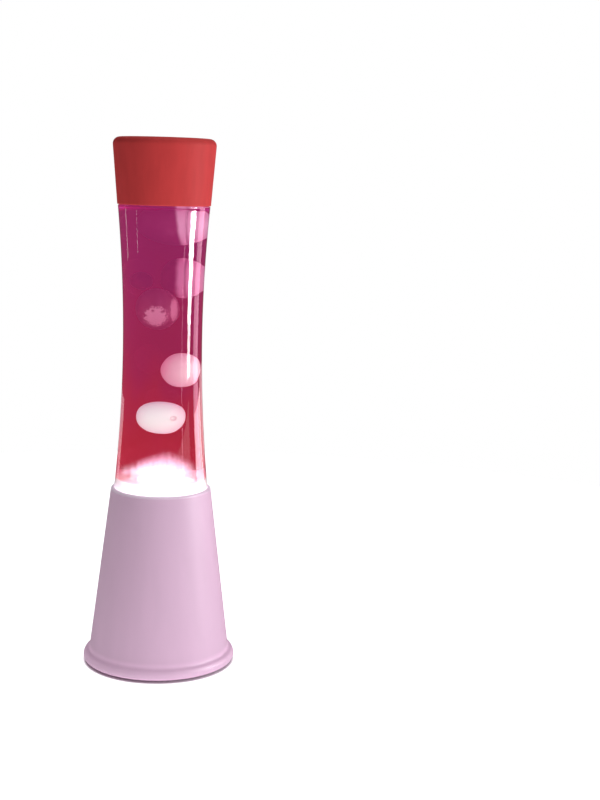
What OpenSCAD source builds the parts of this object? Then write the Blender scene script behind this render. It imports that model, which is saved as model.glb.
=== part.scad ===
// Lava lamp: a sealed glass bottle of tinted liquid and drifting wax that lifts out of a
// tapered base, a screw-in reflector bulb below it and a lift-off cap on top.
// The lamp stands on Z = 0 with its axis on Z. The cord entry faces +Y, the back.

/* [Overall] */
// Height of the whole lamp, to the top of its cap
lamp_h = 395; // [394:0.5:397]
// Radius of the foot
foot_r = 57.5; // [57.2:0.1:58.5]
// Gap that the rubber feet leave under the base
foot_gap = 1.8; // [1.7:0.1:2.2]

/* [Base] */
// Height of the base, to the top of its lip
base_h = 135.5; // [135:0.5:136]
// Radius of the cone where it meets the foot's bead
cone_foot_r = 53.1; // [53:0.1:53.3]
// Radius of the cone at its lip
cone_lip_r = 37.7; // [37.7:0.1:37.9]
// Wall of the moulded base
base_wall = 2.2; // [2:0.1:2.2]
// Radius of the bead round the foot
bead_r = 4.6; // [4.5:0.1:4.7]
// Number of screws, and of feet, under the base
foot_count = 3; // [3:1:3]

/* [Bottle] */
// Radius of the glass at its waist
waist_r = 29.35; // [29.2:0.05:30]
// Height of the waist above the table
waist_z = 248; // [246:1:250]
// Radius of the glass where it leaves the base
bottle_foot_r = 35.2; // [35:0.05:35.2]
// Wall of the glass
glass_wall = 2.6; // [2.4:0.1:2.7]
// Height of the bottle's underside above the table
bottle_z = 105.1; // [105.1:0.1:105.3]
// Radius of the neck's bore
neck_bore_r = 8.5; // [8:0.1:9]

/* [Cap] */
// Height of the cap
cap_h = 48.5; // [48:0.5:49.5]
// Radius of the cap's open end
cap_rim_r = 34.3; // [34.2:0.1:34.6]
// Radius of the cap near its top
cap_top_r = 38.1; // [37.5:0.1:38.5]
// Wall of the cap
cap_wall = 2.5; // [2.2:0.1:2.5]

/* [Wax] */
// Height of the molten wax where it meets the glass
pool_edge_z = 141.5; // [140:0.5:143]
// Height of the mound over the pool's edge
mound_h = 12.5; // [10:0.5:14]
// Radius of the mound
mound_r = 30; // [26:1:32]
// Play between a drifting blob and the liquid round it
wax_play = 0.25; // [0.2:0.05:0.3]

/* [Bulb] */
// Widest radius of the reflector bulb
bulb_r = 19.5; // [19:0.1:20]
// Length of the bulb, contact to crown
bulb_l = 68; // [67:0.5:68]
// Height of the bulb's contact above the table
bulb_z = 35.5; // [35.5:0.1:35.8]

/* [Cord entry] */
// Radius of the cord's hole
cord_hole_r = 3.1; // [2.5:0.1:3.5]
// Height of the cord entry above the table
cord_z = 22; // [21:0.5:23]

/* [Hidden] */
$fn = 96;

touch = 0.05;                          // gap left where two pieces of one body meet
bead_z = foot_gap + 3;                 // height of the bead's centre
cone_z = bead_z + bead_r;              // where the cone leaves the bead
lip_z = base_h - base_wall;            // where the lip starts to round over
ledge_z = 101.5;                       // top of the ledge that carries the bottle's seat
plate_z = 3;                           // underside of the bottom plate
plate_top = plate_z + 2;
plate_r = 50.3;
boss_r = 44.5;                         // circle of the bottom plate's screws
boss_top = 18;
pilot_r = 1.4;
foot_circle = 41;                      // circle of the rubber feet
cord_hole_w = 10;                      // side of the square hole for the cord's bush
cord_pad_y = 53.5;                     // face of the flat pad round that hole
cord_pad_back_y = 46;
bracket_top = 10.2;
bracket_screw_x = 19.5;
holder_top = 60;
shield_flange_z = 56.5;                // top of the holder's flange, where the shield stands
rivet_circle = 34.1;
rivet_hole_r = 0.95;
rivet_head_r = 1.45;
seat_z = ledge_z + touch;
seat_top = seat_z + 1.8;
cap_z = lamp_h - cap_h;                // the cap's open end
shoulder_z = cap_z - 0.2;              // step that the cap stands over
step_r = 31.3;                         // glass inside the cap's rim
neck_top = shoulder_z + 31.2;
liquid_top = shoulder_z + 21;
coil_r = 22;
coil_z = 116.6;
coil_turns = 20;
coil_turn_r = 3.5;
coil_wire_r = 0.5;
ring_step = 6.5;                       // height between the points of the bottle's outline
ring_count = 31;
bulb_neck_z = bulb_z + 25.5;
bulb_top = bulb_z + bulb_l;
bulb_wall = 0.8;
bulb_side = [[6.1, bulb_neck_z - 3.5], [6.1, bulb_neck_z], [9.8, bulb_neck_z + 2.5],
    [10.2, bulb_neck_z + 8], [12.5, bulb_neck_z + 13], [16.5, bulb_neck_z + 19],
    [bulb_r, bulb_neck_z + 26]];
crown_rise = bulb_top - bulb_neck_z - 29;
thread_pitch = 2.82;

// Each drifting blob: its middle, its radius and half its height
lower_blob = [[-0.5, -9, 190.6], 14.8, 12];
middle_blob = [[11.9, -6, 226], 12.8, 12.7];
upper_blob = [[-3.4, -8, 271.3], 13.2, 15.3];
rear_blob = [[9.6, 9.4, 293.8], 11.3, 15];
small_blob = [[-10.4, 10.6, 291], 5.4, 6.7];
top_blob = [[6, 3, 334], 20.5, 16.2];
BLOBS = [lower_blob, middle_blob, upper_blob, rear_blob, small_blob, top_blob];

// Points of an arc in the turning plane
function arc(x, z, r, from, to, n = 8) =
    [for (i = [0:n]) let (a = from + (to - from) * i / n) [x + r * cos(a), z + r * sin(a)]];
// Outer radius of the base's cone at a height
function cone_r(z) = cone_foot_r + (z - cone_z) * (cone_lip_r - cone_foot_r) / (lip_z - cone_z);
// Outer radius of the glass at a height: cylindrical in the base, waisted above it
function bottle_r(z) = z < base_h ? bottle_foot_r
    : waist_r + (bottle_foot_r - waist_r) * pow((z - waist_z) / (base_h - waist_z), 2);
// Outer radius of the cap at a height
function cap_r(z) = cap_rim_r + (cap_top_r - cap_rim_r) * (z - cap_z) / cap_h;
// Height of the wax pool's surface at a radius
function pool_top(r) = pool_edge_z + mound_h * (1 + cos(180 * min(r / mound_r, 1))) / 2;
// The bottle's inside, from the middle of its floor up to its shoulder
function floor_profile(gap) = concat([[0, 112.2 + gap], [20, 110.6 + gap]],
    arc(bottle_foot_r - glass_wall - 3, 112.6, 3 - gap, -90, 0, 5));
// Points of the bulb's rounded crown, moved in by a wall
function crown_profile(wall) = [for (a = [0:10:90])
    [(bulb_r - wall) * cos(a), bulb_top - crown_rise + (crown_rise - wall) * sin(a)]];

// A solid turned about Z from its outline
module turned(points) rotate_extrude() polygon(points);
// A flat ring about Z
module ring(z, h, outer, inner) translate([0, 0, z]) difference() {
    cylinder(h = h, r = outer);
    translate([0, 0, -1]) cylinder(h = h + 2, r = inner);
}
// Places its children at a radius, evenly round Z
module around(count, radius, start = 0)
    for (i = [0:count - 1]) rotate(start + i * 360 / count) translate([radius, 0, 0]) children();
// A cross-slotted pan-head screw with its head below z and its shank above
module screw(z, head_r, head_h, shank_r, shank_l) translate([0, 0, z]) difference() {
    union() {
        turned(concat([[0, -head_h]], arc(head_r - 0.8, 0.8 - head_h, 0.8, -90, 0, 4),
            [[head_r, 0], [0, 0]]));
        translate([0, 0, -0.2]) cylinder(h = shank_l - 0.8, r = shank_r);
        translate([0, 0, shank_l - 1]) cylinder(h = 1, r1 = shank_r, r2 = 0.4);
    }
    for (a = [0, 90]) rotate(a) translate([-0.4, -1.5, -head_h - 1]) cube([0.8, 3, 1.8]);
}
// A wax blob, grown by a margin
module blob(shape, margin = 0) translate(shape[0])
    turned([for (a = [-90:10:90])
        [(shape[1] + margin) * cos(a), (shape[2] + margin) * sin(a)]]);
// A closed tube swept along a list of ring frames: middle, first side, second side
module swept(frames, r, sides) {
    rings = len(frames);
    points = [for (f = frames, s = [0:sides - 1])
        f[0] + r * (cos(360 * s / sides) * f[1] + sin(360 * s / sides) * f[2])];
    faces = [for (i = [0:rings - 1], s = [0:sides - 1]) let (j = (i + 1) % rings, t = (s + 1) % sides)
        [i * sides + s, i * sides + t, j * sides + t, j * sides + s]];
    polyhedron(points, faces, convexity = 10);
}

// ---- base ----

// Moulded base: a tapered shell with a hollow bead, a ledge, screw bosses and a cord boss
module base_cone() color("plum") difference() {
    union() {
        turned(concat(
            arc(foot_r - 1.6, foot_gap + 1.6, 1.6, -90, 0, 4),
            arc(foot_r - bead_r, bead_z, bead_r, 0, 87, 12),
            arc(cone_r(lip_z) - base_wall, lip_z, base_wall, 7, 90, 6),
            [[cone_r(lip_z) - base_wall, lip_z],
             [cone_r(ledge_z) - base_wall, ledge_z], [37, ledge_z], [37, ledge_z - 2],
             [cone_r(ledge_z - 4) - base_wall, ledge_z - 4],
             [cone_r(12) - base_wall, 12], [plate_r + 0.3, 9], [plate_r + 0.3, 2.4],
             [plate_r + 2.1, 2.4], [plate_r + 2.1, 6.6], [foot_r - 2.3, 6.6],
             [foot_r - 2.3, foot_gap]]));
        around(foot_count, boss_r, 30) translate([0, 0, plate_top + touch]) {
            cylinder(h = boss_top - plate_top, r = 3.6);
            translate([0, -1, 0]) cube([51.2 - boss_r, 2, boss_top - plate_top]);
        }
        translate([0, cord_pad_back_y, cord_z]) rotate([-90, 0, 0])
            cylinder(h = cord_pad_y - cord_pad_back_y, r = 8);
    }
    around(foot_count, boss_r, 30) cylinder(h = boss_top - 2, r = pilot_r + touch);
    translate([-cord_hole_w / 2, 40, cord_z - cord_hole_w / 2]) cube([cord_hole_w, 20, cord_hole_w]);
}

// Bottom plate with two rings of vent holes
module bottom_plate() color("dimgray") difference() {
    translate([0, 0, plate_z]) cylinder(h = plate_top - plate_z, r = plate_r);
    translate([0, 0, plate_z - 1]) {
        around(foot_count, boss_r, 30) cylinder(h = 4, r = 1.8);
        around(16, 32) cylinder(h = 4, r = 1.8);
        around(12, 26) cylinder(h = 4, r = 1.8);
        around(2, bracket_screw_x) cylinder(h = 4, r = pilot_r + touch);
        cylinder(h = 4, r = 9);
    }
}

// Screws that hold the bottom plate to the base
module plate_screws() color("silver")
    around(foot_count, boss_r, 30) screw(plate_z, 3.2, 1.2, pilot_r, 11);

// Rubber feet under the bottom plate
module rubber_feet() color("black") around(foot_count, foot_circle, 90)
    turned(concat([[0, 0]], arc(5, 0.5, 0.5, -90, 0, 3), [[5.5, plate_z], [0, plate_z]]));

// Square-bodied bush that the cord would pass through, with a lip inside and a flange outside
module cord_gland() color("dimgray") translate([0, 0, cord_z]) difference() {
    union() {
        translate([-5.7, cord_pad_back_y - 1.4, -5.7]) cube([11.4, 1.3, 11.4]);
        translate([-4.9, cord_pad_back_y - 1, -4.9]) cube([9.8, 9, 9.8]);
        translate([0, cord_pad_y + touch, 0]) rotate([-90, 0, 0]) cylinder(h = 2, r = 7.6);
    }
    translate([0, 40, 0]) rotate([-90, 0, 0]) cylinder(h = 20, r = cord_hole_r);
}

// Seat with a raised rim that centres the bottle
module bottle_seat() color("silver") difference() {
    turned([[28, seat_z], [38.8, seat_z], [38.8, seat_top], [37.2, seat_top],
        [37.2, 108], [36, 108], [36, seat_top], [28, seat_top]]);
    around(3, rivet_circle, 90) translate([0, 0, ledge_z]) cylinder(h = 3, r = rivet_hole_r);
}

// Silicone ring between the bottle and its seat
module seat_gasket() color("white")
    ring(seat_top + touch, bottle_z - 0.1 - seat_top - touch, 32.2, 28.6);

// Spun aluminium shield that keeps the bulb's heat off the base
module heat_shield() color("lightgray") difference() {
    turned([[12.4, shield_flange_z + touch], [16, shield_flange_z + touch],
        [32.6, ledge_z - 0.6], [36.8, ledge_z - 0.6], [36.8, ledge_z],
        [32.2, ledge_z], [15.7, shield_flange_z + 0.65], [12.4, shield_flange_z + 0.65]]);
    around(3, rivet_circle, 90) translate([0, 0, ledge_z - 2]) cylinder(h = 3, r = rivet_hole_r);
}

// Rivets that hang the shield from the seat
module shield_rivets() color("silver") around(3, rivet_circle, 90) {
    translate([0, 0, ledge_z - 1.4]) cylinder(h = 0.75, r = rivet_head_r);
    translate([0, 0, ledge_z - 1]) cylinder(h = seat_top - ledge_z + 1.1, r = rivet_hole_r - touch);
    translate([0, 0, seat_top + touch]) cylinder(h = 0.6, r = rivet_head_r);
}

// Body of the small screw lamp holder, with its hollow threaded stem
module lamp_holder() color("ivory") difference() {
    union() {
        translate([0, 0, 5.8]) cylinder(h = 5, r = 4.95);
        translate([0, 0, bracket_top + touch]) cylinder(h = 26, r = 13);
        translate([0, 0, 36]) cylinder(h = holder_top - 36, r = 12);
        translate([0, 0, shield_flange_z - 2.5]) cylinder(h = 2.5, r = 14.5);
    }
    translate([0, 0, 5]) cylinder(h = 8, r = 3.5);
    translate([0, 0, 12.5]) cylinder(h = 18, r = 9);
    translate([0, 0, 33]) cylinder(h = 40, r = 8.3);
    around(2, 7) translate([0, 0, 20]) rotate([0, 90, 0]) cylinder(h = 8, r = 1.55);
}

// Threaded contact sleeve of the holder
module holder_shell() color("gold") turned(concat(
    [for (i = [0:14]) [i % 2 == 0 ? 7.25 : 7.6, 36.4 + i * thread_pitch / 2]],
    [[7.25, 57.6], [8.15, 57.6], [8.15, 36]], [[7.25, 36]]));

// Spring contact under the bulb
module holder_contact() color("gold")
    turned([[0, 33.05], [5.5, 33.05], [5.5, 33.6], [2.4, 34.4], [1.4, 35.1], [0, 35.1]]);

// Nut that clamps the holder to its bracket
module holder_nut() color("silver") difference() {
    translate([0, 0, 6.3]) cylinder(h = 2.6, r = 8.1, $fn = 6);
    cylinder(h = 10, r = 5);
}

// Terminal screws in the sides of the holder
module terminal_screws() color("gold")
    around(2, 14.5) translate([0, 0, 20]) rotate([0, -90, 0]) screw(1.4, 2.2, 1.2, 1.5, 4.4);

// Steel strap that carries the holder over the bottom plate
module holder_bracket() color("silver") difference() {
    translate([0, -7, 0]) for (side = [0, 1]) mirror([side, 0, 0]) {
        translate([-0.1, 0, bracket_top - 1.2]) cube([15.1, 14, 1.2]);
        translate([13.8, 0, plate_top + touch]) cube([1.2, 14, bracket_top - plate_top - touch]);
        translate([13.8, 0, plate_top + touch]) cube([10.2, 14, 1.2]);
    }
    cylinder(h = 12, r = 5.05);
    around(2, bracket_screw_x) cylinder(h = 8, r = 1.7);
}

// Screws that hold the bracket to the bottom plate
module bracket_screws() color("silver") around(2, bracket_screw_x)
    translate([0, 0, plate_top + 1.3]) mirror([0, 0, 1]) screw(0, 2.8, 1.5, pilot_r, 3.6);

// ---- bulb ----

// Glass envelope of the reflector bulb
module bulb_glass() color("white") turned(concat(bulb_side, crown_profile(0),
    [for (i = [9:-1:0]) crown_profile(bulb_wall)[i]],
    [for (i = [6:-1:0]) bulb_side[i] - [bulb_wall, 0]]));

// Small screw cap of the bulb, with rounded threads
module bulb_screw_cap() color("silver") turned(concat(
    [[5.95, bulb_z + 4.5], [6.2, bulb_z + 4.5]],
    [for (i = [0:11]) [i % 2 == 0 ? 6.25 : 6.9, bulb_z + 5.4 + i * thread_pitch / 2]],
    [[6.6, bulb_z + 22], [6.6, bulb_neck_z - 0.4], [6.2, bulb_neck_z - 0.4],
     [6.15, bulb_z + 21.6], [5.85, bulb_z + 21.6], [5.85, bulb_z + 4.5]]));

// Dark glass insulator at the foot of the bulb
module bulb_insulator() color("black") turned([[0, bulb_z + 1.1], [2.8, bulb_z + 1.1],
    [5.8, bulb_z + 3.9], [5.8, bulb_z + 5.2], [0, bulb_z + 5.2]]);

// Solder contact at the very bottom of the bulb
module bulb_contact() color("silver")
    turned(concat([[0, bulb_z + 1.05]], arc(1.3, bulb_z + 1, 1, 0, -90, 5), [[0, bulb_z]]));

// Glass stem that seals the bulb and carries the filament
module bulb_stem() color("white") turned([[0, bulb_neck_z - 3.4], [5.2, bulb_neck_z - 3.4],
    [5.2, bulb_neck_z - 2.6], [2.6, bulb_neck_z + 2], [2.2, bulb_neck_z + 11],
    [1.2, bulb_neck_z + 14], [0, bulb_neck_z + 14]]);

// Filament and its two lead wires
module bulb_filament() color("orange") {
    z = bulb_neck_z + 24;
    for (side = [0, 1]) mirror([side, 0, 0]) {
        translate([1.9, 0, z - 10]) rotate([0, 24, 0]) cylinder(h = 10.9, r = 0.35, $fn = 16);
        translate([-0.1, 0, z - 0.2]) rotate([0, 90, 0]) cylinder(h = 6.6, r = 0.6, $fn = 16);
    }
}

// ---- bottle ----

// Hourglass bottle with a pushed-up bottom, a step for the cap and a crown-finish neck
module glass_bottle() color("lightpink") turned(concat(
    [[0, bottle_z + 3.5], [20, bottle_z + 2.2], [27, bottle_z]],
    arc(bottle_foot_r - 4, bottle_z + 4, 4, -90, 0, 6),
    [for (i = [0:ring_count]) let (z = base_h + i * ring_step) [bottle_r(z), z]],
    arc(bottle_r(shoulder_z) - 0.9, shoulder_z - 0.9, 0.9, 0, 90, 4),
    [[step_r, shoulder_z]],
    arc(step_r - 9, shoulder_z + 4, 9, 0, 60, 6),
    [[14.5, shoulder_z + 18], [12.2, shoulder_z + 21], [12.2, shoulder_z + 24],
     [13.3, shoulder_z + 26.5]],
    arc(12.1, neck_top - 1.2, 1.2, 0, 90, 4),
    [[neck_bore_r, neck_top], [neck_bore_r, shoulder_z + 20.5], [12, shoulder_z + 15.4],
     [25, shoulder_z + 9], [step_r - glass_wall, shoulder_z + 3.5],
     [step_r - glass_wall, shoulder_z - 1]],
    [for (i = [ring_count:-1:0]) let (z = base_h + i * ring_step) [bottle_r(z) - glass_wall, z]],
    [for (i = [7:-1:0]) floor_profile(0)[i]]));

// Crimped metal crown that seals the neck
module crown_cap() color("gold") {
    turned([[0, neck_top + 0.85], [13.4, neck_top + 0.85], [15.6, neck_top - 4.6],
        [16, neck_top - 4.6], [13.8, neck_top + 1.25], [0, neck_top + 1.25]]);
    around(21, 15.4) translate([0, 0, neck_top - 4.4]) rotate([0, -20, 0])
        cylinder(h = 4, r1 = 0.9, r2 = 0.5, $fn = 24);
}

// Soft liner inside the crown
module crown_liner() color("white")
    translate([0, 0, neck_top + touch]) cylinder(h = 0.75, r = 12.6);

// Tinted liquid that fills the bottle round the wax, with air left in the neck
module lava_liquid() color("mediumvioletred") difference() {
    turned(concat(
        [for (r = [0:4:28]) [r, pool_top(r) + 0.1]],
        [[bottle_foot_r - glass_wall - 0.6, pool_top(bottle_foot_r - glass_wall - 0.6) + 0.1]],
        [for (i = [1:ring_count]) let (z = base_h + i * ring_step)
            [bottle_r(z) - glass_wall - 0.1, z]],
        [[step_r - glass_wall - 0.1, shoulder_z - 1], [step_r - glass_wall - 0.1, shoulder_z + 3.4],
         [24.9, shoulder_z + 8.8], [12, shoulder_z + 15.2],
         [neck_bore_r - 0.1, shoulder_z + 20.4], [neck_bore_r - 0.1, liquid_top],
         [0, liquid_top]]));
    for (shape = BLOBS) blob(shape, wax_play);
}

// Molten wax that rests on the bottle's floor, bedded round the coil
module wax_pool() color("seashell") difference() {
    turned(concat(floor_profile(0.1),
        [[bottle_foot_r - glass_wall - 0.1, base_h],
         [bottle_foot_r - glass_wall - 0.7, pool_top(bottle_foot_r - glass_wall - 0.7)]],
        [for (r = [28:-4:0]) [r, pool_top(r)]]));
    rotate_extrude() translate([coil_r, coil_z]) circle(r = coil_turn_r + coil_wire_r + 0.3);
}

// Closed ring of coiled wire that spreads the heat and gathers the wax
module heat_coil() color("silver") {
    steps = coil_turns * 8;
    swept([for (i = [0:steps - 1]) let (
        about = 360 * i / steps, turn = 45 * i,
        out = [cos(about), sin(about), 0], up = [0, 0, 1],
        spoke = cos(turn) * out + sin(turn) * up)
        [(coil_r + coil_turn_r * cos(turn)) * out + [0, 0, coil_z + coil_turn_r * sin(turn)],
         spoke, [-sin(about), cos(about), 0]]], coil_wire_r, 6);
}

// ---- wax that drifts in the liquid ----

module wax_blob_lower() color("seashell") blob(lower_blob);
module wax_blob_middle() color("seashell") blob(middle_blob);
module wax_blob_upper() color("seashell") blob(upper_blob);
module wax_blob_rear() color("seashell") blob(rear_blob);
module wax_blob_small() color("seashell") blob(small_blob);
module wax_top_mass() color("seashell") blob(top_blob);

// ---- cap ----

// Hollow lift-off cap that hides the neck
module top_cap() color("firebrick") turned(concat(
    [[cap_rim_r - cap_wall, cap_z + 0.1], [cap_rim_r - 0.4, cap_z + 0.1],
     [cap_rim_r, cap_z + 0.5]],
    arc(cap_r(lamp_h - 5) - 5, lamp_h - 5, 5, -5, 90, 8),
    [[0, lamp_h], [0, lamp_h - cap_wall]],
    arc(cap_r(lamp_h - 5) - 5, lamp_h - 5, 5 - cap_wall, 90, -5, 5)));

base_cone();
bottom_plate();
plate_screws();
rubber_feet();
cord_gland();
bottle_seat();
seat_gasket();
heat_shield();
shield_rivets();
lamp_holder();
holder_shell();
holder_contact();
holder_nut();
terminal_screws();
holder_bracket();
bracket_screws();
bulb_glass();
bulb_screw_cap();
bulb_insulator();
bulb_contact();
bulb_stem();
bulb_filament();
glass_bottle();
crown_cap();
crown_liner();
lava_liquid();
wax_pool();
heat_coil();
wax_blob_lower();
wax_blob_middle();
wax_blob_upper();
wax_blob_rear();
wax_blob_small();
wax_top_mass();
top_cap();
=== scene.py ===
"""Looks of the lava lamp: smooth glass, liquid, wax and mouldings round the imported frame.

Outlines are in millimetres, as [radius, height] about the lamp's axis; Blender's units are metres.
The lamp stands on Z = 0 with its front to -Y.
"""
import math

import bmesh
import bpy
from mathutils import Matrix, Vector, noise


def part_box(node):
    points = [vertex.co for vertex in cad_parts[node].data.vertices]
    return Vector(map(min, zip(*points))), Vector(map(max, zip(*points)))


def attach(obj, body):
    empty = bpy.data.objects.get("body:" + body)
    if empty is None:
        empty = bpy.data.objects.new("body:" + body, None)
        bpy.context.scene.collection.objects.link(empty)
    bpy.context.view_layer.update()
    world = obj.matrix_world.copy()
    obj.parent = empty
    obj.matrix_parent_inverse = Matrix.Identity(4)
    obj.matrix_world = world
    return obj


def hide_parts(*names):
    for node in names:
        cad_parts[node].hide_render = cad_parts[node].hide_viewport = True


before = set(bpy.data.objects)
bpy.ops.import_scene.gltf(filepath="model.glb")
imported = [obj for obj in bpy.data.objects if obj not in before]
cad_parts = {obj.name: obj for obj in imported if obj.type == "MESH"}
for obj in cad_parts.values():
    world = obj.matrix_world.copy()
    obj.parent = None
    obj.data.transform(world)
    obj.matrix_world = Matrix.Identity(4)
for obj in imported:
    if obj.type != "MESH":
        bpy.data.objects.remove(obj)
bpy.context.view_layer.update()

MM = 0.001
SEGMENTS = 192                 # faces round a turned piece


def low(node):
    """Height of a CAD node's underside, in mm."""
    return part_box(node)[0].z / MM


def high(node):
    """Height of a CAD node's top, in mm."""
    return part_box(node)[1].z / MM


def reach(node):
    """Outer radius of a CAD node that is turned about the axis, in mm."""
    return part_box(node)[1].x / MM


# Heights and radii that the frame gives
LAMP_H = high("top_cap")
CAP_Z = low("top_cap")
BASE_H = high("base_cone")
FOOT_Z = low("base_cone")
FOOT_R = reach("base_cone")
BOTTLE_Z = low("glass_bottle")
BOTTLE_FOOT_R = reach("glass_bottle")
NECK_TOP = high("glass_bottle")
LIQUID_TOP = high("lava_liquid")
MOUND_Z = high("wax_pool")

# Base
CONE_FOOT_R, CONE_LIP_R = 53.1, 37.7
BEAD_R, BEAD_Z = 4.6, FOOT_Z + 3.0
CONE_Z = BEAD_Z + BEAD_R       # where the cone leaves the bead
FLARE_H = 2.2                  # height over which the bead runs into the cone
FOOT_FILLET = 2.2
BASE_WALL = 2.2
PLATE_RECESS_R = 50.6          # recess under the foot for the bottom plate
LEDGE_Z = low("bottle_seat")   # ledge that carries the bottle's seat
CORD_Z, CORD_HOLE_W = 22.0, 10.0

# Bottle
WAIST_R, WAIST_Z = 29.35, 248.0
GLASS_WALL = 2.6
SHOULDER_Z = CAP_Z - 0.3
STEP_R = 31.3
NECK_BORE_R = 8.5
FLOOR_TURN = 3.0               # rounded corner inside, round the floor
FLOOR_TURN_Z = 112.6
CONTACT = 0.15                 # how far liquid and wax reach into the glass, leaving no air

# Cap
CAP_RIM_R, CAP_TOP_R = 34.3, 38.1
CAP_WALL = 2.5
CAP_FILLET = 5.0

# Wax pool
POOL_EDGE_Z, MOUND_R = 142.6, 30.0


# ---- outlines ----

def arc(x, z, r, start, end, count=12):
    """Points of an arc, by angles in degrees."""
    angles = [math.radians(start + (end - start) * i / count) for i in range(count + 1)]
    return [(x + r * math.cos(a), z + r * math.sin(a)) for a in angles]


def bend(start, corner, end, t):
    """Point at a share t of a curve from start to end that leaves and arrives along the corner."""
    return tuple((1 - t) ** 2 * a + 2 * t * (1 - t) * b + t * t * c
                 for a, b, c in zip(start, corner, end))


def spread(start, end, count):
    """Evenly spaced values, both ends included."""
    return [start + (end - start) * i / count for i in range(count + 1)]


def smooth(value, start, end):
    """0 before start, 1 after end and a soft rise between."""
    t = min(max((value - start) / (end - start), 0.0), 1.0)
    return t * t * (3 - 2 * t)


def cone_r(z):
    """Outer radius of the base's cone."""
    lip = BASE_H - BASE_WALL
    return CONE_FOOT_R + (z - CONE_Z) * (CONE_LIP_R - CONE_FOOT_R) / (lip - CONE_Z)


def bottle_r(z):
    """Outer radius of the glass: a cylinder in the base, waisted above it."""
    if z < BASE_H:
        return BOTTLE_FOOT_R
    return WAIST_R + (BOTTLE_FOOT_R - WAIST_R) * ((z - WAIST_Z) / (BASE_H - WAIST_Z)) ** 2


def pool_top(r):
    """Height of the molten wax at a radius, with its mound in the middle."""
    share = min(r / MOUND_R, 1.0)
    return POOL_EDGE_Z + (MOUND_Z - POOL_EDGE_Z) * (1 + math.cos(math.pi * share)) / 2


def lathe(name, outline, loop=False):
    """A piece turned about Z from its outline. Points on the axis become one vertex."""
    mesh = bmesh.new()
    rings = []
    for r, z in outline:
        turns = [0.0] if r == 0 else [2 * math.pi * i / SEGMENTS for i in range(SEGMENTS)]
        rings.append([mesh.verts.new((r * MM * math.cos(a), r * MM * math.sin(a), z * MM))
                      for a in turns])
    skin(mesh, list(zip(rings, rings[1:])) + ([(rings[-1], rings[0])] if loop else []))
    return piece(name, mesh)


def skin(mesh, pairs):
    """Faces between pairs of rings. A ring on the axis is one vertex."""
    for a, b in [pair for pair in pairs if len(pair[0]) + len(pair[1]) > 2]:
        for i in range(SEGMENTS):
            j = (i + 1) % SEGMENTS
            corners = [a[i % len(a)], a[j % len(a)], b[j % len(b)], b[i % len(b)]]
            mesh.faces.new(list(dict.fromkeys(corners)))


def piece(name, mesh, sharp=40):
    """A new smooth-shaded object from a bmesh, with its normals turned outwards."""
    bmesh.ops.recalc_face_normals(mesh, faces=mesh.faces)
    data = bpy.data.meshes.new(name)
    mesh.to_mesh(data)
    mesh.free()
    data.shade_smooth()
    data.set_sharp_from_angle(angle=math.radians(sharp))
    obj = bpy.data.objects.new(name, data)
    bpy.context.scene.collection.objects.link(obj)
    return obj


def finish_piece(obj, body, slot, material, *nodes):
    """Gives a piece its material and its body, and hides the CAD nodes that it stands for."""
    obj.data.materials.append(material)
    if nodes:
        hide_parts(*nodes)
    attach(obj, body)


# ---- materials ----

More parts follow.
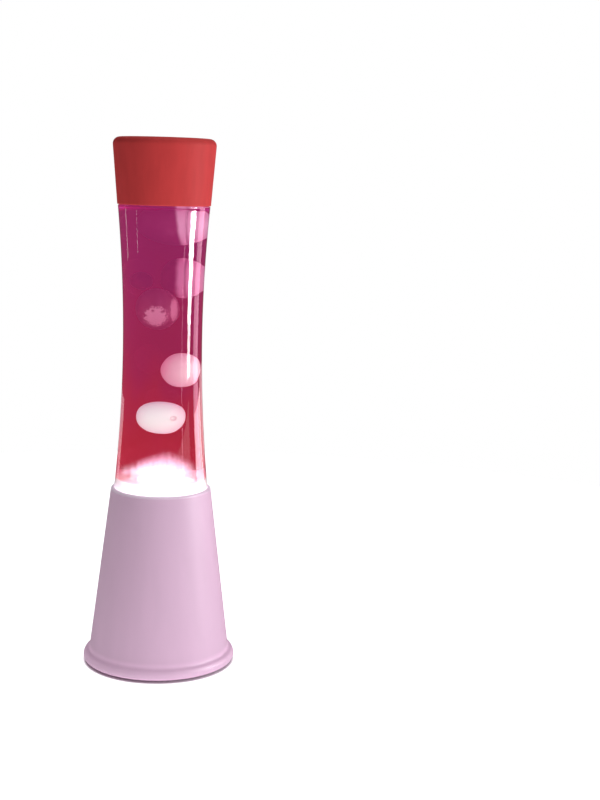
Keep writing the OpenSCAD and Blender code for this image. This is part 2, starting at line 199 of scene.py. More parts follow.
class Nodes:
    """A material's node tree in short calls. Its coordinates are the piece's own, in metres."""

    def __init__(self, name):
        self.material = bpy.data.materials.new(name)
        self.material.use_nodes = True
        self.tree = self.material.node_tree
        self.tree.nodes.clear()
        self.output = self.add("OutputMaterial")
        self.place = self.add("TexCoord").outputs["Object"]

    def add(self, kind, **settings):
        node = self.tree.nodes.new("ShaderNode" + kind)
        for key, value in settings.items():
            setattr(node, key, value)
        return node

    def feed(self, socket, value):
        """Links a socket, or sets its value."""
        if isinstance(value, bpy.types.NodeSocket):
            self.tree.links.new(value, socket)
        else:
            socket.default_value = value

    def shade(self, surface, volume=None):
        self.feed(self.output.inputs["Surface"], surface)
        if volume is not None:
            self.feed(self.output.inputs["Volume"], volume)
        return self.material

    def grain(self, scale, detail=2.0, stretch=(1, 1, 1)):
        """Noise from 0 to 1, with scale in waves a metre."""
        mapping = self.add("Mapping")
        mapping.inputs["Scale"].default_value = stretch
        self.feed(mapping.inputs["Vector"], self.place)
        node = self.add("TexNoise")
        self.feed(node.inputs["Vector"], mapping.outputs["Vector"])
        node.inputs["Scale"].default_value = scale
        node.inputs["Detail"].default_value = detail
        return node.outputs["Fac"]

    def spread(self, value, start, end, to_start=0.0, to_end=1.0, kind="SMOOTHSTEP"):
        """Maps a range of a value to another range."""
        node = self.add("MapRange", interpolation_type=kind)
        self.feed(node.inputs["Value"], value)
        for key, number in (("From Min", start), ("From Max", end),
                            ("To Min", to_start), ("To Max", to_end)):
            node.inputs[key].default_value = number
        return node.outputs["Result"]

    def along(self, direction, centre=(0, 0, 0)):
        """Distance along a direction from a point, in metres."""
        shift = self.add("VectorMath", operation="SUBTRACT")
        self.feed(shift.inputs[0], self.place)
        shift.inputs[1].default_value = centre
        dot = self.add("VectorMath", operation="DOT_PRODUCT")
        self.feed(dot.inputs[0], shift.outputs["Vector"])
        dot.inputs[1].default_value = Vector(direction).normalized()
        return dot.outputs["Value"]

    def sum(self, a, b, operation="ADD"):
        node = self.add("Math", operation=operation)
        self.feed(node.inputs[0], a)
        self.feed(node.inputs[1], b)
        return node.outputs["Value"]

    def blend(self, factor, a, b):
        """Colour from a to b."""
        node = self.add("Mix", data_type="RGBA")
        self.feed(node.inputs["Factor"], factor)
        self.feed(node.inputs[6], a if isinstance(a, bpy.types.NodeSocket) else (*a, 1))
        self.feed(node.inputs[7], b if isinstance(b, bpy.types.NodeSocket) else (*b, 1))
        return node.outputs[2]

    def bump(self, height, depth_mm, strength=1.0):
        node = self.add("Bump")
        node.inputs["Distance"].default_value = depth_mm * MM
        node.inputs["Strength"].default_value = strength
        self.feed(node.inputs["Height"], height)
        return node.outputs["Normal"]

    def stored(self, name):
        """A value that the mesh code stored at each vertex."""
        return self.add("Attribute", attribute_name=name).outputs["Fac"]

    def principled(self, **inputs):
        node = self.add("BsdfPrincipled")
        for key, value in inputs.items():
            self.feed(node.inputs[key.replace("_", " ")], value)
        return node.outputs["BSDF"]


def shifted(colour, factor):
    return tuple(min(c * factor, 1.0) for c in colour)


def moulded(name, colour, rough=0.4, grain_mm=0.02, gloss=0.5, lit=None):
    """Moulded plastic: fine grain, faint flow lines and slightly uneven gloss.

    lit: heights, in mm, of a crease and of a lip that get painted light: an emission that brightens
    the crease over the bead as light from the floor would, and the lip as the bulb's light through
    it would."""
    n = Nodes(name)
    lines = n.grain(90, 2, (1, 1, 0.15))
    fine = n.grain(2600, 2)
    tint = n.blend(n.spread(lines, 0.3, 0.7), shifted(colour, 0.985), shifted(colour, 1.01))
    glow = (0, 0, 0, 1)
    # Painted light: a glow in the lip's top and in the crease over the bead, fading down the bead.
    if lit is not None:
        up = n.along((0, 0, 1))
        lip = n.spread(up, lit[1] * MM, (lit[1] + 2.5) * MM)
        glow = n.blend(lip, (0, 0, 0), (0.22, 0.24, 0.25))
        crease = n.sum(n.spread(up, (lit[0] + 5) * MM, (lit[0] + 0.5) * MM),
                       n.spread(up, (lit[0] - 1) * MM, (lit[0] - 5) * MM, 1.0, 0.3), "MULTIPLY")
        glow = n.blend(crease, glow, shifted(colour, 0.17))
    return n.shade(n.principled(
        Base_Color=tint, Roughness=n.spread(fine, 0.25, 0.75, rough - 0.05, rough + 0.06),
        Normal=n.bump(fine, grain_mm, 0.6), Specular_IOR_Level=gloss,
        Emission_Color=glow, Emission_Strength=1.0))


def metal(name, colour, rough=0.3, stretch=(1, 1, 12), wear=0.85):
    """Drawn or turned metal: fine lines one way, duller patches and a little tarnish."""
    n = Nodes(name)
    lines = n.grain(900, 3, stretch)
    patches = n.grain(120, 4)
    tint = n.blend(n.spread(patches, 0.35, 0.7), shifted(colour, wear), colour)
    return n.shade(n.principled(
        Base_Color=tint, Metallic=1.0, Normal=n.bump(lines, 0.02, 0.5),
        Roughness=n.spread(lines, 0.2, 0.8, rough - 0.08, rough + 0.12)))


def rubber(name, colour, rough=0.75):
    """Rubber or silicone: dull, with a fine grain and a dusty bloom in patches."""
    n = Nodes(name)
    fine = n.grain(1800, 3)
    bloom = n.grain(90, 3)
    tint = n.blend(n.spread(bloom, 0.4, 0.75), colour, shifted(colour, 1.35))
    return n.shade(n.principled(Base_Color=tint, Normal=n.bump(fine, 0.05, 0.6),
                                Roughness=n.spread(fine, 0.2, 0.8, rough - 0.1, rough + 0.1)))


def clear_glass(name, tint=(0.985, 0.99, 0.99)):
    """Clear blown glass with faint vertical waves. Lamps outside it light what is behind it."""
    n = Nodes(name)
    waves = n.grain(70, 2, (1, 1, 0.2))
    shine = n.principled(Base_Color=n.blend(n.spread(waves, 0.2, 0.8), tint, (1, 1, 1)),
                         Roughness=0.0, IOR=1.5, Transmission_Weight=1.0,
                         Normal=n.bump(waves, 0.05, 0.04))
    clear = n.add("BsdfTransparent")
    mix = n.add("MixShader")
    n.feed(mix.inputs[0], n.add("LightPath").outputs["Is Shadow Ray"])
    n.feed(mix.inputs[1], shine)
    n.feed(mix.inputs[2], clear.outputs[0])
    return n.shade(mix.outputs[0])


# The liquid's painted glow, which stands in for the bulb's light in it, from its top to just over
# the wax, and the colour that it lets through
GLOW_TOP = (0.205, 0.0125, 0.087)
GLOW_MIDDLE = (0.226, 0.0115, 0.061)
GLOW_LOW = (0.315, 0.0145, 0.032)
PASSED = (0.979, 0.940, 0.957)  # share of each colour left after a millimetre

CREST_GLOW = (2.2, 5.0, 4.2)    # painted light on the wax's surface, strong enough to show through the dye
DEEP_GLOW = (0.075, 0.009, 0.033)  # painted glow of wax that only the liquid lights
# Painted glow of the stirred-up wax over the mound
HAZE_GLOW = (1.3, 3.0, 2.4, 1)
HAZE_LAYERS, HAZE_H, HAZE_ALPHA = 10, 10.0, 0.40


def tinted_liquid(name):
    """Dyed liquid that absorbs, with a painted glow that stands in for the bulb's light in it:
    magenta at the top and crimson below, with a faint swirl in its glow.
    """
    n = Nodes(name)
    z = n.along((0, 0, 1))
    swirl = n.spread(n.grain(38, 3, (1, 1, 0.6)), 0.3, 0.7, -0.012, 0.012)
    height = n.sum(z, swirl)
    upper = n.blend(n.spread(height, 0.245, 0.325), GLOW_MIDDLE, GLOW_TOP)
    glow = n.blend(n.spread(height, 0.165, 0.25), GLOW_LOW, upper)
    absorb = n.add("VolumeAbsorption")
    losses = [-math.log(share) for share in PASSED]
    absorb.inputs["Color"].default_value = (*[1 - loss / max(losses) for loss in losses], 1)
    absorb.inputs["Density"].default_value = max(losses) / MM
    return n.shade(n.principled(
        Base_Color=(1, 1, 1, 1), Roughness=0.0, IOR=1.36, Transmission_Weight=1.0,
        Emission_Color=glow, Emission_Strength=1.0), absorb.outputs[0])


def soft_wax(name, centre, direction, start, end, dim, lit, mottle=0.1, dent=(0.0, 0.0), spots=(),
             bands=(), body=(0.72, 0.52, 0.58, 1)):
    """Wax with painted light: an emission that goes from dim to lit along a direction, in mm from
    its middle.

    dent: how strongly painted shade darkens its dents, and the share of the dim glow that they
    keep.
    spots: (x, z, half width, half height, softness) of patches of painted light on its front, in
    mm.
    bands: (x, half width) of upright bands where the painted light is dimmer, in mm."""
    n = Nodes(name)
    cloud = n.spread(n.grain(140, 4), 0.25, 0.75, -mottle, mottle)
    reach_along = n.spread(n.along(direction, centre), start * MM, end * MM, kind="LINEAR")
    share = n.spread(n.sum(reach_along, cloud), 0.0, 1.0)
    if spots:
        speckle = n.spread(n.grain(900, 3), 0.3, 0.7, -0.45, 0.45)
        share = 0.0
        for x, z, half_x, half_z, soft in spots:
            across = n.sum(n.along((1, 0, 0), centre + Vector((x, 0, 0)) * MM),
                           half_x * MM, "DIVIDE")
            up = n.sum(n.along((0, 0, 1), centre + Vector((0, 0, z)) * MM),
                       half_z * MM, "DIVIDE")
            gap = n.sum(n.sum(across, across, "MULTIPLY"), n.sum(up, up, "MULTIPLY"))
            spot = n.spread(n.sum(gap, speckle), 1 + soft, 1 - soft)
            share = n.sum(share, spot, "MAXIMUM")
    for x, half in bands:
        gap = n.along((1, 0, 0), centre + Vector((x, 0, 0)) * MM)
        share = n.sum(share, n.spread(n.sum(gap, gap, "MULTIPLY"), (half * 0.5 * MM) ** 2,
                                      (half * MM) ** 2, 0.45, 1.0), "MULTIPLY")
    glow = n.blend(share, dim, lit)
    # Painted shade in the dents, darkening the glow by the mask that the mesh code stores.
    if dent[0]:
        shade = n.sum(n.stored("dent"), dent[0], "MULTIPLY")
        glow = n.blend(shade, glow, shifted(dim, dent[1]))
    fine = n.grain(420, 3)
    return n.shade(n.principled(
        Base_Color=body, Roughness=0.55, Normal=n.bump(fine, 0.12, 0.4),
        Emission_Color=glow, Emission_Strength=1.0))


# ---- base ----

def make_base():
    """The moulded base, with its rolled lip, hollow bead and cord hole."""
    lip_r = cone_r(BASE_H - BASE_WALL) - BASE_WALL
    bead = arc(FOOT_R - BEAD_R, BEAD_Z, BEAD_R, 0, 68, 18)
    crease, flare_z = (53.0, CONE_Z + 0.3), CONE_Z + FLARE_H
    outline = (
        arc(FOOT_R - FOOT_FILLET, FOOT_Z + FOOT_FILLET, FOOT_FILLET, -90, 0, 10)
        + bead[:-1]
        + [bend(bead[-1], crease, (cone_r(flare_z), flare_z), t) for t in spread(0, 1, 10)]
        + [(cone_r(z), z) for z in spread(flare_z + 1, BASE_H - BASE_WALL - 1, 24)]
        + arc(lip_r, BASE_H - BASE_WALL, BASE_WALL, 7, 90, 14)
        + arc(lip_r, BASE_H - 0.5, 0.5, 90, 180, 5)
        + [(lip_r - 0.5, BASE_H - BASE_WALL), (cone_r(LEDGE_Z) - BASE_WALL, LEDGE_Z),
           (37, LEDGE_Z), (37, LEDGE_Z - 2), (cone_r(LEDGE_Z - 4) - BASE_WALL, LEDGE_Z - 4),
           (cone_r(12) - BASE_WALL, 12), (PLATE_RECESS_R, 9), (PLATE_RECESS_R, 2.4),
           (PLATE_RECESS_R + 1.8, 2.4), (PLATE_RECESS_R + 1.8, 6.6),
           (FOOT_R - 2.3, 6.6), (FOOT_R - 2.3, FOOT_Z)])
    base = lathe("base_shell", outline, loop=True)
    cutter = bmesh.new()
    place = Matrix.Translation((0, 0.052, CORD_Z * MM))
    size = Matrix.Diagonal((CORD_HOLE_W * MM, 0.02, CORD_HOLE_W * MM, 1))
    bmesh.ops.create_cube(cutter, size=1.0, matrix=place @ size)
    hole = piece("cord_hole", cutter)
    cut = base.modifiers.new("cord_hole", "BOOLEAN")
    cut.object = hole
    cut.solver = "EXACT"
    graph = bpy.context.evaluated_depsgraph_get()
    bored = bpy.data.meshes.new_from_object(base.evaluated_get(graph))
    base.modifiers.clear()
    base.data = bored
    bpy.data.objects.remove(hole)
    # Painted light on the base's crease and lip, at the heights given by lit.
    plastic = moulded("base_plastic_look", (0.775, 0.515, 0.70), rough=0.45, grain_mm=0.01,
                      gloss=0.25, lit=(CONE_Z, BASE_H - 2.6))
    finish_piece(base, "base", "base_plastic", plastic, "base_cone")


# ---- cap ----

def make_cap():
    """The lift-off cap: a flared shell with a soft edge at the top."""
    top_r = CAP_RIM_R + (CAP_TOP_R - CAP_RIM_R) * (LAMP_H - CAP_FILLET - CAP_Z) / (LAMP_H - CAP_Z)
    turn = top_r - CAP_FILLET
    side_h = LAMP_H - CAP_FILLET - CAP_Z - 0.9
    side = [(CAP_RIM_R + (top_r - CAP_RIM_R) * t, CAP_Z + 0.6 + side_h * t)
            for t in spread(0, 1, 16)]
    outline = (
        arc(CAP_RIM_R - CAP_WALL + 0.4, CAP_Z + 0.4, 0.4, 180, 270, 4)
        + arc(CAP_RIM_R - 0.5, CAP_Z + 0.5, 0.5, 270, 360, 5)
        + side + arc(turn, LAMP_H - CAP_FILLET, CAP_FILLET, 0, 90, 16)
        + [(turn * t, LAMP_H) for t in (0.8, 0.5, 0.2)]
        + [(0, LAMP_H), (0, LAMP_H - CAP_WALL)]
        + arc(turn, LAMP_H - CAP_FILLET, CAP_FILLET - CAP_WALL, 90, -5, 8))
    cap = lathe("cap_shell", outline, loop=True)
    n = Nodes("cap_plastic_look")
    fine = n.grain(3200, 2)
    flow = n.grain(180, 3, (1, 1, 0.2))
    red = (0.70, 0.064, 0.066)
    tint = n.blend(n.spread(flow, 0.3, 0.7), shifted(red, 0.96), shifted(red, 1.03))
    # Painted highlight: a lighter red along the cap's bottom rim and its top edge.
    rim_highlight = n.sum(n.spread(n.along((0, 0, 1)), (CAP_Z + 1.5) * MM, (CAP_Z + 0.2) * MM),
                 n.spread(n.along((0, 0, 1)), (LAMP_H - 3) * MM, (LAMP_H - 0.5) * MM))
    tint = n.blend(n.sum(rim_highlight, 0.35, "MULTIPLY"), tint, (0.86, 0.12, 0.11))
    soft = n.principled(Base_Color=tint, Roughness=n.spread(fine, 0.2, 0.8, 0.5, 0.64),
                        Normal=n.bump(fine, 0.02, 0.5), Specular_IOR_Level=0.03)
    finish_piece(cap, "cap", "cap_plastic", n.shade(soft), "top_cap")


# ---- bottle ----

def make_glass():
    """The hourglass bottle: pushed-up bottom, step for the cap and neck."""
    turn = STEP_R - 9
    inner_step = STEP_R - GLASS_WALL
    outline = (
        [(0, BOTTLE_Z + 3.5), (20, BOTTLE_Z + 2.2), (27, BOTTLE_Z)]
        + arc(BOTTLE_FOOT_R - 4, BOTTLE_Z + 4, 4, -90, 0, 10)
        + [(bottle_r(z), z) for z in spread(BASE_H - 6, SHOULDER_Z - 1.2, 90)]
        + arc(bottle_r(SHOULDER_Z) - 0.9, SHOULDER_Z - 0.9, 0.9, 0, 90, 6)
        + [(STEP_R + 0.3, SHOULDER_Z)]
        + arc(turn, SHOULDER_Z + 4, 9, 0, 60, 14)
        + [(14.5, SHOULDER_Z + 18), (12.2, SHOULDER_Z + 21), (12.2, SHOULDER_Z + 24),
           (13.3, SHOULDER_Z + 26.5)]
        + arc(12.1, NECK_TOP - 1.2, 1.2, 0, 90, 6)
        + [(NECK_BORE_R, NECK_TOP), (NECK_BORE_R, SHOULDER_Z + 20.5), (12, SHOULDER_Z + 15.4),
           (25, SHOULDER_Z + 9), (inner_step, SHOULDER_Z + 3.5), (inner_step, SHOULDER_Z - 1)]
        + [(bottle_r(z) - GLASS_WALL, z) for z in spread(SHOULDER_Z - 3, BASE_H - 6, 90)]
        + arc(BOTTLE_FOOT_R - GLASS_WALL - FLOOR_TURN, FLOOR_TURN_Z, FLOOR_TURN, 0, -90, 8)
        + [(20, 110.6), (0, 112.2)])
    glass = lathe("bottle_glass_shell", outline)
    finish_piece(glass, "bottle", "bottle_glass", clear_glass("bottle_glass_look"), "glass_bottle")


def make_liquid():
    """The liquid, as one body of it; the wax stands in it."""
    wall = GLASS_WALL - CONTACT
    top_r = STEP_R - wall
    edge = BOTTLE_FOOT_R - wall
    outline = (
        [(r, pool_top(r) - 3.0) for r in spread(0, edge - 0.9, 24)]
        + [(bottle_r(z) - wall, z) for z in spread(POOL_EDGE_Z - 2.5, SHOULDER_Z - 3, 90)]
        + [(top_r, SHOULDER_Z - 1), (top_r, SHOULDER_Z + 3.4), (24.9, SHOULDER_Z + 8.8),
           (12, SHOULDER_Z + 15.2), (NECK_BORE_R + CONTACT, SHOULDER_Z + 20.4),
           (NECK_BORE_R + CONTACT, LIQUID_TOP), (0, LIQUID_TOP)])
    liquid = lathe("liquid_body", outline)
    finish_piece(liquid, "bottle", "tinted_liquid", tinted_liquid("liquid_look"), "lava_liquid")


# ---- wax ----

def make_pool():
    """Molten wax on the bottle's floor, with painted light: an emission that makes it glow white as
    the bulb below would light it.
    """
    wall = GLASS_WALL - CONTACT
    edge = BOTTLE_FOOT_R - wall
    outline = (
        [(0, 112.1), (20, 110.5)]
        + arc(BOTTLE_FOOT_R - GLASS_WALL - FLOOR_TURN, FLOOR_TURN_Z, FLOOR_TURN + CONTACT,
              -90, 0, 8)
        + [(bottle_r(z) - wall + 0.05, z) for z in spread(118, pool_top(edge), 8)]
        + [(r, pool_top(r)) for r in spread(edge - 0.5, 1, 40)]
        + [(0, pool_top(0))])
    pool = lathe("molten_wax", outline)
    stored = pool.data.attributes.new("crest", "FLOAT", "POINT")
    for vertex in pool.data.vertices:
        x, y, z = vertex.co
        inner = smooth(math.hypot(x, y) / MM, edge - 0.2, edge - 3)
        share = inner * smooth(z / MM, POOL_EDGE_Z - 2, POOL_EDGE_Z + 1)
        ripple = (noise.noise(Vector((x, y, 0.0)) * 130)
                  + 0.5 * noise.noise(Vector((x, y, 0.3)) * 330))
        vertex.co.z += share * 0.0008 * ripple
        stored.data[vertex.index].value = smooth(math.hypot(x, y) / MM, edge + 0.01, edge - 0.6)
    # Painted light on the pool: on its side, white in the middle, lavender at the left and cream at
    # the right; on its top, brightest round a point at the front of the crest and darker towards
    # the back.
    n = Nodes("lit_wax_look")
    across = n.spread(n.along((1, -0.3, 0)), -0.030, 0.030)
    flank = n.spread(n.along((1, 0, 0)), -0.030, 0.030, -1.0, 1.0, "LINEAR")
    flank = n.spread(n.sum(flank, flank, "MULTIPLY"), 0.6, 1.0)
    flank_tone = n.blend(across, (0.95, 0.85, 0.96), (0.94, 0.87, 0.87))
    side_tone = n.blend(flank, (1.2, 1.2, 1.2), flank_tone)
    distance = n.add("VectorMath", operation="DISTANCE")
    n.feed(distance.inputs[0], n.place)
    distance.inputs[1].default_value = (0.002, -0.018, (MOUND_Z - 4) * MM)
    reach_out = n.sum(distance.outputs["Value"], n.spread(n.grain(150, 4), 0.3, 0.7, -0.003, 0.003))
    rim_tone = n.blend(n.spread(n.along((0, 1, 0)), -0.020, -0.006),
                       (0.95, 0.88, 0.95), (0.48, 0.36, 0.36))
    top_tone = n.blend(n.spread(reach_out, 0.004, 0.0235), CREST_GLOW, rim_tone)
    glow = n.blend(n.stored("crest"), side_tone, top_tone)
    fine = n.grain(300, 3)
    wax = n.principled(Base_Color=(0.8, 0.74, 0.76, 1), Roughness=0.4,
                       Normal=n.bump(fine, 0.1, 0.4), Emission_Color=glow, Emission_Strength=1.0)
    finish_piece(pool, "bottle", "lit_wax", n.shade(wax), "wax_pool")


def make_haze():
    """Fine wax stirred up over the mound: thin closed layers, fainter upwards and at the edge, with
    a painted glow for the bulb's light in them.
    """
    edge = BOTTLE_FOOT_R - GLASS_WALL - 0.4
    mesh = bmesh.new()
    fade = []
    for layer in range(HAZE_LAYERS):
        share = (layer + 1) / HAZE_LAYERS
        rings = []
        for r in spread(0, edge - 0.2 * layer, 24):
            ring = []
            for i in range(SEGMENTS if r else 1):
                turn = 2 * math.pi * i / SEGMENTS
                lean = 1 + (0.15 * math.cos(turn) if r else 0)
                rise = share * HAZE_H * lean * (0.45 + 0.55 * math.cos(math.pi * r / edge / 2))
                ring.append(mesh.verts.new((r * MM * math.cos(turn), r * MM * math.sin(turn),
                                            (pool_top(r) + rise) * MM)))
                fade.append(((1 - share) ** 0.9 + 0.05) * (1 - 0.96 * smooth(r, 9, edge - 2)))
            rings.append(ring)
        skin(mesh, list(zip(rings, rings[1:])) + ([(rim, rings[-1])] if layer % 2 else []))
        rim = rings[-1]
    mesh.verts.index_update()
    haze = piece("wax_haze", mesh)
    stored = haze.data.attributes.new("fade", "FLOAT", "POINT")
    for index, value in enumerate(fade):
        stored.data[index].value = value
    n = Nodes("wax_haze_look")
    streaks = n.spread(n.grain(520, 3, (1, 1, 0.1)), 0.35, 0.65, -0.6, 0.6)
    puffs = n.spread(n.grain(130, 3), 0.3, 0.7, -0.25, 0.25)
    dense = n.sum(n.spread(n.sum(n.sum(streaks, puffs), n.stored("fade")), 0.05, 0.95),
                  n.stored("fade"), "MULTIPLY")
    # Painted glow: the haze's emission stands in for the bulb's light on it.
    wisp = n.principled(Base_Color=(0.8, 0.7, 0.74, 1), Roughness=0.7, Specular_IOR_Level=0.0,
                        Emission_Color=HAZE_GLOW, Emission_Strength=1.0,
                        Alpha=n.sum(dense, HAZE_ALPHA, "MULTIPLY"))
    finish_piece(haze, "bottle", "lit_wax", n.shade(wisp))


def make_blob(node, name, square=1.0, wobble=0.03, seed=0.0, dents=()):
    """A drifting body of wax in its CAD solid's box.

    dents: (direction, radius, depth, rim, hollow). Radius, depth and rim are in mm, and hollow is
    the share of the radius where the painted shade that it stores is strongest."""
    lowest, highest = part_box(node)
    middle, half = (lowest + highest) / 2, (highest - lowest) / 2
    mesh = bmesh.new()
    bmesh.ops.create_icosphere(mesh, subdivisions=6, radius=1.0)
    marks = {}
    for vertex in mesh.verts:
        way = vertex.co.normalized()
        bulge = noise.noise(way * 1.1 + Vector((seed, seed * 2, 0)))
        size = 1 + wobble * bulge
        stretch = Vector([abs(c) ** square * (1 if c > 0 else -1) for c in way])
        point = Vector([stretch[i] * half[i] * size for i in range(3)])
        mark = 0.0
        for direction, radius, depth, rim, hollow in dents:
            aim = Vector(direction).normalized()
            off = way - aim
            off.z *= 1.4
            gap = off.length * half.x / MM / radius
            raised = rim * math.exp(-((gap - 1.5) * 2) ** 2)
            point -= way * MM * (depth * math.exp(-gap ** 2) - raised)
            mark = max(mark, math.exp(-((gap - hollow) * (1 + 1.6 * hollow)) ** 2))
        vertex.co = middle + point
        marks[vertex.index] = mark
    mesh.verts.index_update()
    blob = piece(name, mesh, 80)
    # Stores the painted shade of the dents, by which the wax's look darkens its glow.
    stored = blob.data.attributes.new("dent", "FLOAT", "POINT")
    for index, mark in enumerate(marks.values()):
        stored.data[index].value = mark
    return blob, middle


def make_blobs():
    """The six drifting bodies of wax, with painted light that makes the lower ones brightest."""
    # The lower blob: painted light all over it, a little stronger towards its underside, with
    # painted shade round its dimple.
    blob, middle = make_blob("wax_blob_lower", "lower_wax_blob", 0.94, 0.05, 1.3,
                             [((0.54, -0.82, 0.08), 2.1, 0.8, 0.5, 1.0)])
    look = soft_wax("lower_wax_look", middle, (0.25, 0.1, -1), -12, 8,
                    (0.46, 1.09, 0.97), (0.50, 1.15, 0.99), 0.2, (1.0, 0.5))
    finish_piece(blob, "lower_wax", "wax", look, "wax_blob_lower")

    # The middle blob: painted light, stronger towards its right and its underside.
    blob, middle = make_blob("wax_blob_middle", "middle_wax_blob", 0.97, 0.06, 4.1)
    look = soft_wax("middle_wax_look", middle, (1, 0, -0.45), -17, -4,
                    (0.54, 0.39, 0.47), (0.49, 0.56, 0.55), 0.2)
    finish_piece(blob, "middle_wax", "wax", look, "wax_blob_middle")

    # The upper blob: painted shade in three pits, a patch of painted light low on its front and a
    # painted lit crescent at its right.
    pits = [(way, 1.0, 0.9, 0.2, 0.0)
            for way in ((-0.64, -0.76, -0.28), (-0.27, -0.97, -0.02), (0.22, -0.97, -0.06))]
    # Painted shade: a darker copy of the wax's colour for the blobs that the light barely reaches.
    shaded = (0.25, 0.14, 0.19, 1)
    blob, middle = make_blob("wax_blob_upper", "upper_wax_blob", 1.0, 0.03, 7.7, pits)
    look = soft_wax("upper_wax_look", middle, (0, 0, 1), 0, 1, (0.035, 0.010, 0.022),
                    (0.38, 0.21, 0.28), 0.0, (1.0, 0.1),
                    [(-1.3, -4.3, 7.4, 6.9, 0.3), (10.4, 0.4, 2.1, 8.2, 0.25)], body=shaded)
    finish_piece(blob, "upper_wax", "wax", look, "wax_blob_upper")

    # The rear blob and the top mass: painted light on their right sides, with a dimmer upright band
    # in it.
    blob, middle = make_blob("wax_blob_rear", "rear_wax_blob", 1.0, 0.05, 2.9)
    look = soft_wax("rear_wax_look", middle, (1, 0, 0), -4.0, -0.5, DEEP_GLOW,
                    (0.68, 0.60, 0.70), 0.1, bands=[(2.1, 0.9)], body=shaded)
    finish_piece(blob, "rear_wax", "wax", look, "wax_blob_rear")

    blob, middle = make_blob("wax_blob_small", "small_wax_blob", 1.0, 0.05, 5.5)
    look = soft_wax("small_wax_look", middle, (0, 0, -1), -5, 5, DEEP_GLOW,
                    (0.085, 0.013, 0.042), 0.1, body=shaded)
    finish_piece(blob, "small_wax", "wax", look, "wax_blob_small")

    blob, middle = make_blob("wax_top_mass", "top_wax_mass", 1.0, 0.06, 3.3)
    look = soft_wax("top_wax_look", middle, (1, 0, 0.13), 1.0, 3.8, DEEP_GLOW,
                    (0.62, 0.50, 0.60), 0.1, bands=[(8.0, 1.0)], body=shaded)
    finish_piece(blob, "top_wax", "wax", look, "wax_top_mass")


# ---- carried-over CAD nodes ----

def finish_nodes():
    """Gives each CAD node that stays its own material."""
    steel = metal("steel_look", (0.62, 0.62, 0.63), 0.32)
    screws = metal("screw_steel_look", (0.75, 0.75, 0.76), 0.2, (1, 1, 1))
    aluminium = metal("shield_aluminium_look", (0.82, 0.82, 0.84), 0.28, (1, 1, 14))
    brass = metal("brass_look", (0.80, 0.60, 0.28), 0.25, (1, 1, 10), 0.7)
    tungsten = metal("tungsten_look", (0.95, 0.75, 0.45), 0.35, (8, 1, 1))
    silicone = rubber("silicone_look", (0.62, 0.60, 0.57), 0.55)
    crown = Nodes("crown_metal_look")
    flecks = crown.grain(700, 3)
    paint = crown.blend(crown.spread(flecks, 0.62, 0.72), (0.75, 0.60, 0.26), (0.86, 0.80, 0.66))
    crown_paint = crown.shade(crown.principled(
        Base_Color=paint, Metallic=0.8, Roughness=crown.spread(flecks, 0.3, 0.7, 0.22, 0.36),
        Coat_Weight=0.5, Normal=crown.bump(flecks, 0.02, 0.4)))
    bulb = Nodes("bulb_glass_look")
    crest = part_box("bulb_glass")[1].z
    frost = bulb.grain(900, 3)
    front = bulb.spread(bulb.along((0, 0, 1)), crest - 0.017, crest - 0.015)
    lit = bulb.blend(front, (0, 0, 0), (4.0, 3.5, 2.9))
    envelope = bulb.shade(bulb.principled(
        Base_Color=bulb.blend(front, (0.86, 0.86, 0.88), (0.95, 0.93, 0.9)),
        Metallic=bulb.spread(front, 0, 1, 1.0, 0.0),
        Roughness=bulb.spread(frost, 0.3, 0.7, 0.12, 0.3), Normal=bulb.bump(frost, 0.02, 0.3),
        Emission_Color=lit, Emission_Strength=1.0))
    insulator = Nodes("insulator_look")
    specks = insulator.grain(500, 4)
    vitrite = insulator.shade(insulator.principled(
        Base_Color=insulator.blend(insulator.spread(specks, 0.5, 0.8), (0.02, 0.02, 0.03),
                                   (0.08, 0.07, 0.1)),
        Roughness=insulator.spread(specks, 0.3, 0.7, 0.08, 0.22), Coat_Weight=0.4))
    looks = {
        moulded("dark_plastic_look", (0.075, 0.068, 0.078), 0.5, 0.04):
            ("bottom_plate", "cord_gland"),
        rubber("foot_rubber_look", (0.03, 0.03, 0.03)): ("rubber_feet",),
        steel: ("bottle_seat", "holder_bracket", "holder_nut", "heat_coil"),
        screws: ("plate_screws", "bracket_screws"),
        aluminium: ("heat_shield", "shield_rivets", "bulb_screw_cap", "bulb_contact"),
        silicone: ("seat_gasket", "crown_liner"),
        moulded("holder_plastic_look", (0.82, 0.78, 0.68), 0.35, 0.02): ("lamp_holder",),
        brass: ("holder_shell", "holder_contact", "terminal_screws"),
        crown_paint: ("crown_cap",),
        envelope: ("bulb_glass",),
        clear_glass("bulb_stem_look", (0.95, 0.97, 0.96)): ("bulb_stem",),
        vitrite: ("bulb_insulator",),
        tungsten: ("bulb_filament",),
    }
    for material, nodes in looks.items():
        for node in nodes:
            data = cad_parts[node].data
            data.materials.clear()
            data.materials.append(material)


# ---- studio ----

def area_light(name, azimuth, distance, middle_z, width, height, radiance, colour=(1, 1, 1),
               aim_z=None, diffuse=True, glossy=True):
    """A soft panel round the lamp. Azimuth 0 is the front and 90 the right.

    radiance: how bright the panel looks, against 1 for the backdrop."""
    light = bpy.data.lights.new(name, "AREA")
    light.shape = "RECTANGLE"
    light.size, light.size_y = width, height
    light.energy = radiance * math.pi * width * height
    light.color = colour
    panel = bpy.data.objects.new(name, light)
    turn = math.radians(azimuth)
    panel.location = (distance * math.sin(turn), -distance * math.cos(turn), middle_z)
    aim = Vector((0, 0, middle_z if aim_z is None else aim_z)) - panel.location
    panel.rotation_euler = aim.to_track_quat("-Z", "Y").to_euler()
    panel.visible_camera = False
    panel.visible_diffuse = diffuse
    panel.visible_glossy = glossy
    panel.visible_transmission = False
    bpy.context.scene.collection.objects.link(panel)
    return panel


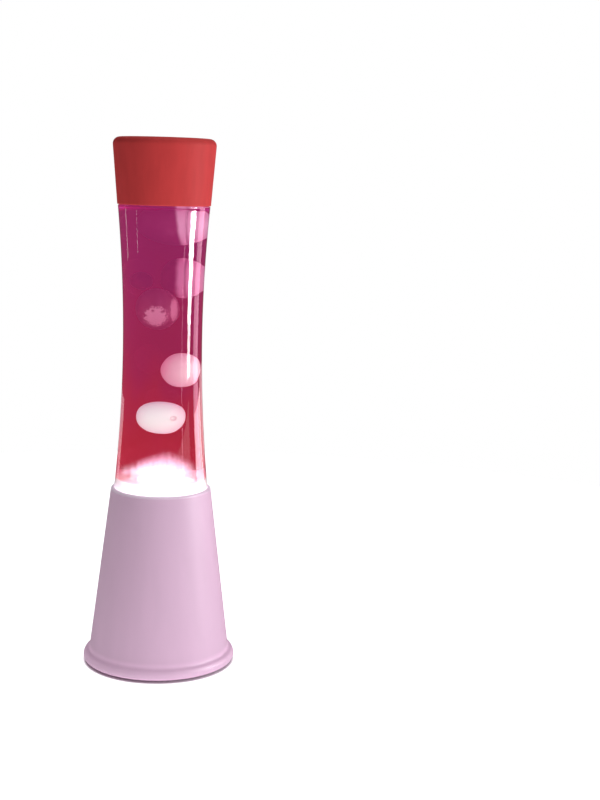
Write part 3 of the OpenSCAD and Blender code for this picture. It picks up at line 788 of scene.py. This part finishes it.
# Panels that the glass mirrors: azimuth, height of the middle, width, height, radiance, colour
PANEL_AWAY = 0.9               # their distance from the lamp's axis
PANELS = {
    "pale_stripe": (111, 0.36, 0.36, 0.7, 4.2, (1.0, 0.6, 0.8)),
    "low_right": (118, 0.045, 0.55, 0.09, 5.4, (1.0, 0.72, 0.78)),
    "low_front": (62, 0.054, 0.60, 0.108, 1.4, (1.0, 0.72, 0.78)),
    "right_edge": (146, 0.055, 0.5, 0.11, 1.3, (1.0, 0.75, 0.8)),
    "left_edge": (-150, 0.040, 0.4, 0.08, 0.8, (1.0, 0.85, 0.95)),
    "low_left": (-136, 0.042, 0.10, 0.084, 1.6, (1.0, 0.7, 0.75)),
    "thin_stripe": (57, 0.36, 0.03, 0.6, 5, (1.0, 0.6, 0.8)),
    "left_line": (-73, 0.428, 0.02, 0.5, 6, (1, 1, 1)),
    "left_rim": (-112, 0.480, 0.05, 0.56, 3, (1, 1, 1)),
}
STRIPE_TOP = 0.72              # top of the three overlapping panels of the white stripe

# What the room gives, against 1 for the backdrop
WORLD_SHINE = 0.06             # to reflections, and through the liquid
WORLD_LIGHT = 0.025            # to dull surfaces


def make_studio():
    """Pale floor and backdrop, a big soft key at the right and panels that the glass mirrors."""
    world = bpy.data.worlds.new("studio")
    world.use_nodes = True
    bpy.context.scene.world = world
    nodes, links = world.node_tree.nodes, world.node_tree.links
    nodes.clear()

    def background(strength):
        node = nodes.new("ShaderNodeBackground")
        node.inputs["Color"].default_value = (1, 1, 1, 1)
        node.inputs["Strength"].default_value = strength
        return node.outputs[0]

    def choose(test, no, yes):
        node = nodes.new("ShaderNodeMixShader")
        for socket, link in zip(node.inputs, (test, no, yes)):
            links.new(link, socket)
        return node.outputs[0]

    path = nodes.new("ShaderNodeLightPath").outputs
    unseen = choose(path["Is Diffuse Ray"], background(WORLD_SHINE), background(WORLD_LIGHT))
    seen = choose(path["Is Camera Ray"], unseen, background(1.0))
    links.new(seen, nodes.new("ShaderNodeOutputWorld").inputs["Surface"])

    area_light("key", 50, 1.5, 0.45, 1.7, 1.2, 1.85, aim_z=0.2, glossy=False)
    area_light("side", 112, 1.6, 0.35, 0.8, 1.0, 0.65, aim_z=0.15, glossy=False)
    area_light("low_fill", -136, 0.6, 0.09, 0.5, 0.16, 1.6, glossy=False)
    top = area_light("overhead", 0, 0.001, 1.5, 1.4, 1.4, 1.1, aim_z=0.0, glossy=False)
    top.rotation_euler = (0, 0, 0)
    for azimuth, width, foot in ((80.5, 0.16, 0.123), (80.5, 0.20, 0.148), (79, 0.29, 0.172)):
        area_light("stripe", azimuth, PANEL_AWAY + width / 20, (foot + STRIPE_TOP) / 2, width,
                   STRIPE_TOP - foot, 17, diffuse=False)
    for name, (azimuth, middle_z, width, height, radiance, colour) in PANELS.items():
        area_light(name, azimuth, PANEL_AWAY, middle_z, width, height, radiance, colour,
                   diffuse=False)

    floor = bmesh.new()
    bmesh.ops.create_circle(floor, cap_ends=True, segments=128, radius=0.8)
    ground = piece("floor", floor)
    n = Nodes("floor_look")
    paper = n.grain(400, 3)
    out = n.add("VectorMath", operation="LENGTH")
    n.feed(out.inputs[0], n.place)
    glow = n.blend(n.spread(out.outputs["Value"], FOOT_R * MM - 0.0015, FOOT_R * MM + 0.0015),
                   (0, 0, 0), (0.95, 0.95, 0.95))
    ground.data.materials.append(n.shade(n.principled(
        Base_Color=n.blend(paper, (0.93, 0.93, 0.93), (0.95, 0.95, 0.95)), Roughness=0.8,
        Specular_IOR_Level=0.1, Emission_Color=glow, Emission_Strength=1.0)))
    ground.visible_transmission = False
    ground.visible_glossy = False


# The photograph's viewing angle: metres and degrees
CAMERA_DISTANCE, CAMERA_Z = 1.0174, 0.3697
PITCH, YAW, ROLL = 9.267, 5.845, 1.628
LENS, SENSOR = 61.5, 36.0


def make_camera():
    camera = bpy.data.cameras.new("camera")
    camera.lens, camera.sensor_width = LENS, SENSOR
    view = bpy.data.objects.new("camera", camera)
    pitch, yaw, roll = (math.radians(a) for a in (PITCH, YAW, ROLL))
    forward = Vector((math.sin(yaw) * math.cos(pitch), math.cos(yaw) * math.cos(pitch),
                      -math.sin(pitch)))
    right = Vector((math.cos(yaw), -math.sin(yaw), 0))
    up = right.cross(forward)
    side = math.cos(roll) * right + math.sin(roll) * up
    rise = math.cos(roll) * up - math.sin(roll) * right
    turn = Matrix((side, rise, -forward)).transposed().to_4x4()
    view.matrix_world = Matrix.Translation((0, -CAMERA_DISTANCE, CAMERA_Z)) @ turn
    bpy.context.scene.collection.objects.link(view)
    bpy.context.scene.camera = view


make_camera()
make_base()
make_cap()
make_glass()
make_liquid()
make_pool()
make_haze()
make_blobs()
finish_nodes()
make_studio()

scene = bpy.context.scene
scene.view_settings.view_transform = "Standard"
scene.cycles.transparent_max_bounces = 24
bpy.context.view_layer.update()
